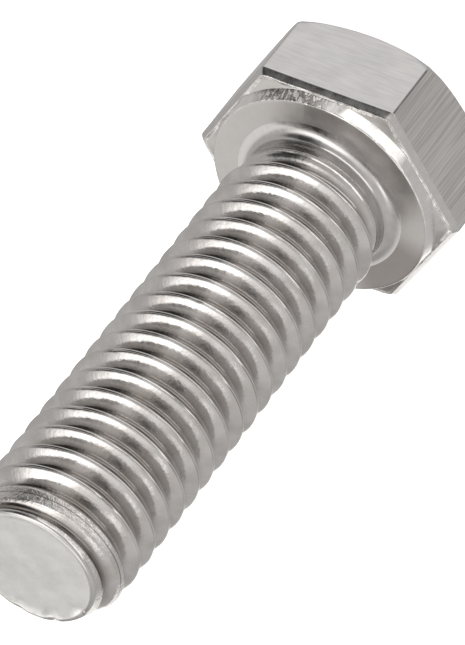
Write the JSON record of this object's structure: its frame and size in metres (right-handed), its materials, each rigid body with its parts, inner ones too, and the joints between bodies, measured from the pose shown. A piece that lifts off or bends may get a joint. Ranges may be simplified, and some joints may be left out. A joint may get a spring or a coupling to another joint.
{
  "type": "hex bolt",
  "caption": "Fully threaded hex head screw with a washer face under the head, a chamfered head top and a chamfered point.",
  "frame": {"origin": "centre of the head's top face, which is the lowest face: the bolt stands on its head", "axes": "+Z along the axis from the head to the tip; two of the head's flats face +Y and -Y, and two of its corners lie on the X axis"},
  "size_m": [0.0164, 0.0142, 0.0379],
  "materials": {
    "stainless_steel": "cold formed stainless steel, satin flats and smooth rolled thread"
  },
  "bodies": {
    "root": {"hex_bolt": "stainless_steel"}
  },
  "joints": []
}
